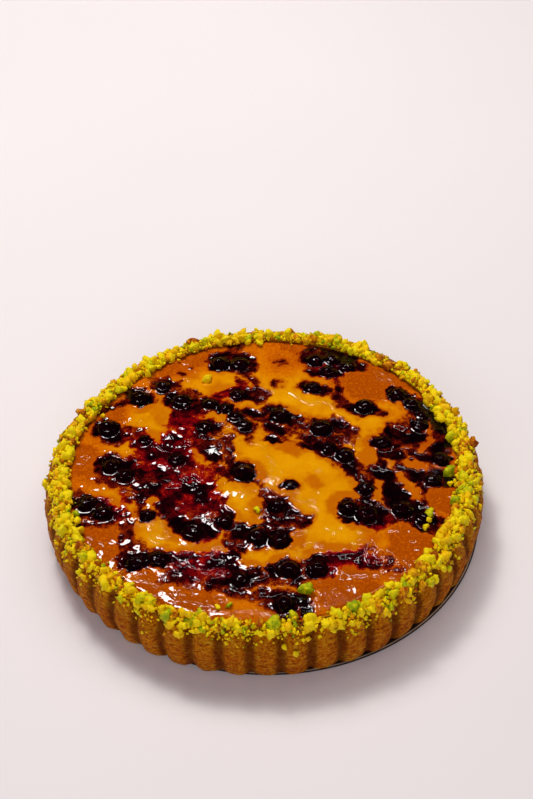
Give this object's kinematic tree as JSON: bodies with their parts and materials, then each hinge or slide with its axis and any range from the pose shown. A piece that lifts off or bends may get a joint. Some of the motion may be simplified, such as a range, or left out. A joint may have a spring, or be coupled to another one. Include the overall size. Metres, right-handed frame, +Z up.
{
  "type": "berry tart",
  "caption": "Whole round fluted shortcrust tart with baked almond filling, glazed dark berries and a chopped pistachio rim, on the loose metal base of its tin.",
  "frame": {"origin": "on the table under the middle of the tart", "axes": "+Z up; the tart is first seen from -Y, with +X to the right; the metal base shows at +X, -Y"},
  "size_m": [0.2496, 0.2496, 0.0387],
  "materials": {
    "tin": "dark, worn, satin",
    "crust": "baked shortcrust, dry and grainy, browner in the flutes' valleys",
    "filling": "baked almond filling marbled with dark berry compote, under a clear wet glaze",
    "pistachio": "chopped nuts, dry, yellow green",
    "berry": "nearly black cooked berries under a clear wet glaze"
  },
  "bodies": {
    "root": {"tin_base": "tin", "crust": "crust", "filling": "filling", "pistachio_band": "pistachio", "berry_01": "berry", "berry_02": "berry", "berry_03": "berry", "berry_04": "berry", "berry_05": "berry", "berry_06": "berry", "berry_07": "berry", "berry_08": "berry", "berry_09": "berry", "berry_10": "berry", "berry_11": "berry", "berry_12": "berry", "berry_13": "berry", "berry_14": "berry", "berry_15": "berry", "berry_16": "berry", "berry_17": "berry", "berry_18": "berry", "berry_19": "berry", "berry_20": "berry", "berry_21": "berry", "berry_22": "berry", "berry_23": "berry", "berry_24": "berry", "berry_25": "berry", "berry_26": "berry", "berry_27": "berry", "berry_28": "berry", "berry_29": "berry", "berry_30": "berry", "berry_31": "berry", "berry_32": "berry", "berry_33": "berry", "berry_34": "berry", "berry_35": "berry", "berry_36": "berry", "berry_37": "berry", "berry_38": "berry", "berry_39": "berry", "berry_40": "berry", "berry_41": "berry", "berry_42": "berry", "berry_43": "berry", "berry_44": "berry", "berry_45": "berry", "berry_46": "berry", "berry_47": "berry", "berry_48": "berry", "berry_49": "berry", "berry_50": "berry", "berry_51": "berry", "berry_52": "berry", "berry_53": "berry", "berry_54": "berry"}
  },
  "joints": []
}
